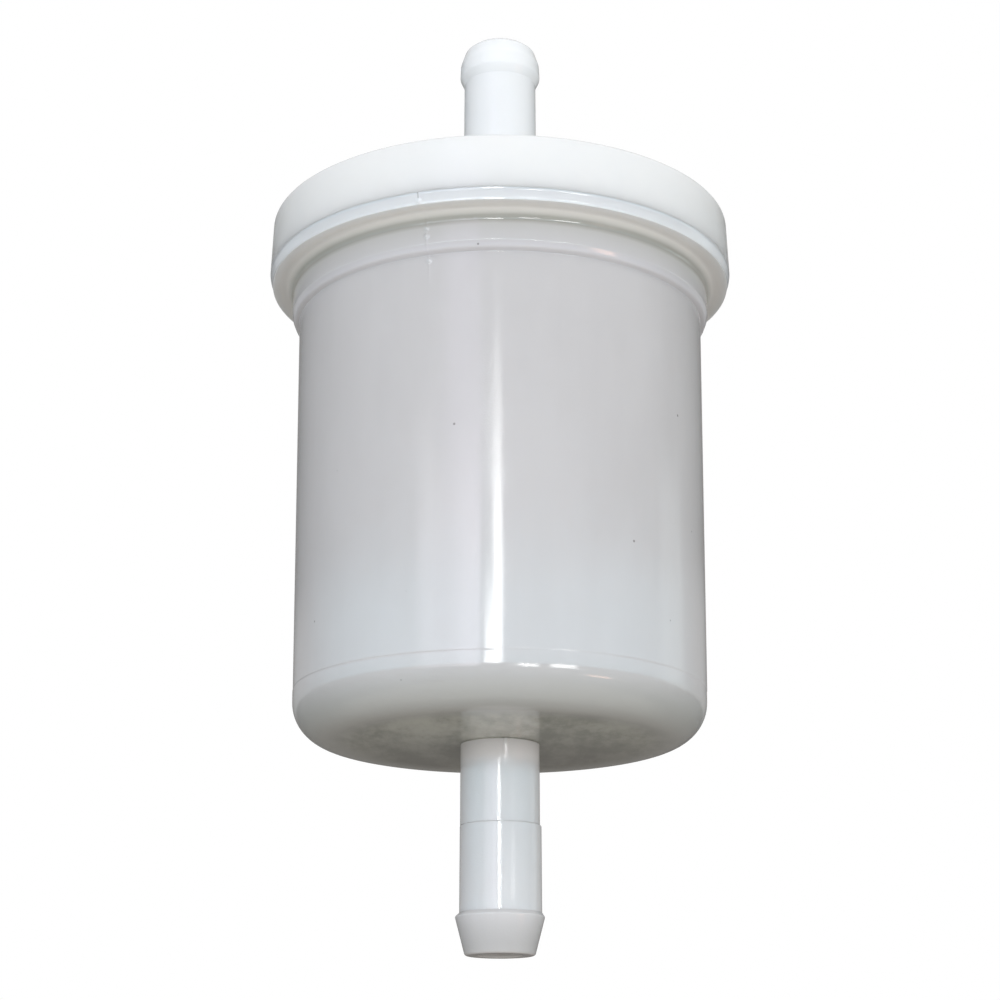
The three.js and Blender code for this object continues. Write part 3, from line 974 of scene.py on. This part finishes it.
def make_world():
    """A soft room of pale panels and small lamps. The camera itself sees plain white."""
    world = bpy.data.worlds.new("studio")
    bpy.context.scene.world = world
    world.use_nodes = True
    tree = world.node_tree
    tree.nodes.clear()

    def link(source, target):
        tree.links.new(source, target)

    def maths(operation, a, b=0.0):
        node = tree.nodes.new("ShaderNodeMath")
        node.operation = operation
        for socket, value in zip(node.inputs, (a, b)):
            if isinstance(value, (int, float)):
                socket.default_value = value
            else:
                link(value, socket)
        return node.outputs[0]

    def step(value, start, end):
        """0 at start, rising smoothly to 1 at end."""
        node = tree.nodes.new("ShaderNodeMapRange")
        node.interpolation_type = "SMOOTHSTEP"
        node.inputs["From Min"].default_value = start
        node.inputs["From Max"].default_value = end
        link(value, node.inputs["Value"])
        return node.outputs["Result"]

    direction = tree.nodes.new("ShaderNodeTexCoord").outputs["Generated"]
    parts = tree.nodes.new("ShaderNodeSeparateXYZ")
    link(direction, parts.inputs[0])
    x, y, z = parts.outputs
    to_degrees = 180 / math.pi
    azimuth = maths("MULTIPLY", maths("ARCTAN2", x, maths("MULTIPLY", y, -1.0)), to_degrees)
    elevation = maths("MULTIPLY", maths("ARCSINE", z), to_degrees)

    def add(factor, colour, total=None):
        """total, with that much of colour added to it."""
        node = tree.nodes.new("ShaderNodeVectorMath")
        node.operation = "MULTIPLY_ADD"
        link(factor, node.inputs[0])
        node.inputs[1].default_value = colour
        if total:
            link(total, node.inputs[2])
        return node.outputs[0]

    def panel(az_low, az_high, el_low, el_high, low_soft, high_soft, el_soft):
        """1 inside a span of azimuth and elevation in degrees, and 0 outside it, with soft sides."""
        inside = maths("MULTIPLY", step(azimuth, az_low - low_soft, az_low + low_soft),
                       step(azimuth, az_high + high_soft, az_high - high_soft))
        inside = maths("MULTIPLY", inside, step(elevation, el_low - el_soft, el_low + el_soft))
        return maths("MULTIPLY", inside, step(elevation, el_high + el_soft, el_high - el_soft))

    seen = tree.nodes.new("ShaderNodeLightPath").outputs["Is Camera Ray"]
    one = tree.nodes.new("ShaderNodeValue")
    one.outputs[0].default_value = 1.0
    light = add(one.outputs[0], ROOM_BASE)
    for *extent, colour in PANELS + LAMPS:
        light = add(panel(*extent), colour, light)

    room = tree.nodes.new("ShaderNodeBackground")
    link(light, room.inputs["Color"])
    backdrop = tree.nodes.new("ShaderNodeBackground")
    backdrop.inputs["Color"].default_value = (1, 1, 1, 1)
    mixed = tree.nodes.new("ShaderNodeMixShader")
    output = tree.nodes.new("ShaderNodeOutputWorld")
    link(seen, mixed.inputs[0])
    link(room.outputs[0], mixed.inputs[1])
    link(backdrop.outputs[0], mixed.inputs[2])
    link(mixed.outputs[0], output.inputs["Surface"])


# The studio's light. Each soft panel: azimuth from and to, elevation from and to, softness of its left
# side, of its right side, and of its top and bottom, and its colour.
# Azimuth 0 is the viewer's side and grows to the viewer's right.
ROOM_BASE = (0.152, 0.147, 0.142)
PANELS = [
    # the room: overhead, the back in two halves and their low parts, in front and low, and the warm floor
    (-104, 107, 20, 100, 40, 40, 12, (0.73, 0.70, 0.69)),
    (-220, -128, 36, 100, 20, 20, 10, (0.48, 0.48, 0.48)),
    (128, 220, 36, 100, 20, 20, 10, (0.48, 0.48, 0.48)),
    (-204, -168, 12, 36, 8, 8, 10, (0.32, 0.32, 0.32)),
    (168, 204, 12, 36, 8, 8, 10, (0.32, 0.32, 0.32)),
    (-82, 84, -32, 9, 30, 30, 8, (0.39, 0.42, 0.44)),
    (-130, 130, -110, -36, 40, 40, 8, (0.70, 0.655, 0.60)),
    # a broad cool window low in front, one at each side, and paler ones on the left and right
    (-100, 100, 6, 14.3, 40, 40, 1.1, (0.98, 1.65, 1.95)),
    (-160, -100, 3, 13.6, 14, 14, 1.2, (0.3, 0.3, 0.3)),
    (95, 160, 3, 14.5, 14, 14, 1.2, (0.3, 0.3, 0.3)),
    (-40, -10.8, 0, 16.5, 10, 0.6, 1.4, (1.65, 1.55, 1.75)),
    (-22, -10.8, 0, 17.3, 5, 0.6, 1.2, (1.3, 1.2, 1.4)),
    (-30, -10.8, 16, 33, 6, 0.6, 1.5, (0.8, 0.7, 0.98)),
    (-46, -36, 0, 18.3, 3, 3, 0.8, (0.75, 0.75, 0.8)),
    (98, 120, 2, 17.2, 4, 4, 1.0, (0.5, 0.55, 0.55)),
]
# The tall lamp in front, then small ones
LAMPS = [
    (-3.2, 1.1, 5.6, 18.3, 0.7, 0.7, 0.4, (14, 14, 14)),
    (-8.0, -3.0, 5.6, 13.2, 1.2, 0.7, 0.9, (12, 12, 12)),
    (-3.6, 0.8, 18.3, 20.1, 1.0, 1.0, 0.9, (3, 3, 3)),
    (9.8, 20.2, -2.0, 4.8, 1.2, 1.2, 0.3, (10.5, 10.5, 10.5)),
    (27.5, 41.0, -2.0, 6.0, 1.5, 1.5, 0.3, (10.5, 10.5, 10.5)),
    (49, 63, -15.5, -12.5, 3, 3, 1.0, (7, 3.9, 2.9)),
]
make_world()

FLOOR_DROP = 60 * MM
FLOOR_HALF = 3.0
FLOOR_PALE = (0.86, 0.86, 0.86, 1)
FLOOR_GLOW = 0.3


def floor_material():
    """Pale from above, and clear from below, where the camera looks up through it."""
    material = bpy.data.materials.new("floor_pale")
    material.use_nodes = True
    tree = material.node_tree
    pale = tree.nodes["Principled BSDF"]
    pale.inputs["Base Color"].default_value = FLOOR_PALE
    pale.inputs["Roughness"].default_value = 0.9
    pale.inputs["Emission Color"].default_value = (1, 1, 1, 1)
    pale.inputs["Emission Strength"].default_value = FLOOR_GLOW
    clear = tree.nodes.new("ShaderNodeBsdfTransparent")
    either = tree.nodes.new("ShaderNodeMixShader")
    from_below = tree.nodes.new("ShaderNodeNewGeometry").outputs["Backfacing"]
    tree.links.new(from_below, either.inputs[0])
    tree.links.new(pale.outputs[0], either.inputs[1])
    tree.links.new(clear.outputs[0], either.inputs[2])
    tree.links.new(either.outputs[0], tree.nodes["Material Output"].inputs["Surface"])
    return material


floor_z = cad_box[0][2] - FLOOR_DROP
floor_corners = [(x * FLOOR_HALF, y * FLOOR_HALF, floor_z) for x, y in ((-1, -1), (1, -1), (1, 1), (-1, 1))]
floor_mesh = bpy.data.meshes.new("floor")
floor_mesh.from_pydata(floor_corners, [], [(0, 1, 2, 3)])
floor_mesh.materials.append(floor_material())
floor = bpy.data.objects.new("floor", floor_mesh)
bpy.context.scene.collection.objects.link(floor)
floor.visible_diffuse = False
floor.visible_glossy = False
floor.visible_transmission = False
floor.visible_shadow = False

# ---------------------------------------------------------------- camera

LENS_MM = 77.4
SENSOR_MM = 36
CLIP_START = 10 * MM
CAMERA_DISTANCE = 202.7 * MM
CAMERA_PITCH = math.radians(16.9)
AIM_BELOW_CENTRE = 2.5 * MM
aim = Vector((0, 0, (cad_box[0][2] + cad_box[1][2]) / 2 - AIM_BELOW_CENTRE))
camera = bpy.data.objects.new("camera", bpy.data.cameras.new("camera"))
bpy.context.scene.collection.objects.link(camera)
camera.data.lens = LENS_MM
camera.data.sensor_width = SENSOR_MM
camera.data.clip_start = CLIP_START
away = Vector((0, -math.cos(CAMERA_PITCH), -math.sin(CAMERA_PITCH)))
camera.location = aim + away * CAMERA_DISTANCE
camera.rotation_euler = (math.pi / 2 + CAMERA_PITCH, 0, 0)
bpy.context.scene.camera = camera

bpy.context.scene.view_settings.view_transform = "Standard"
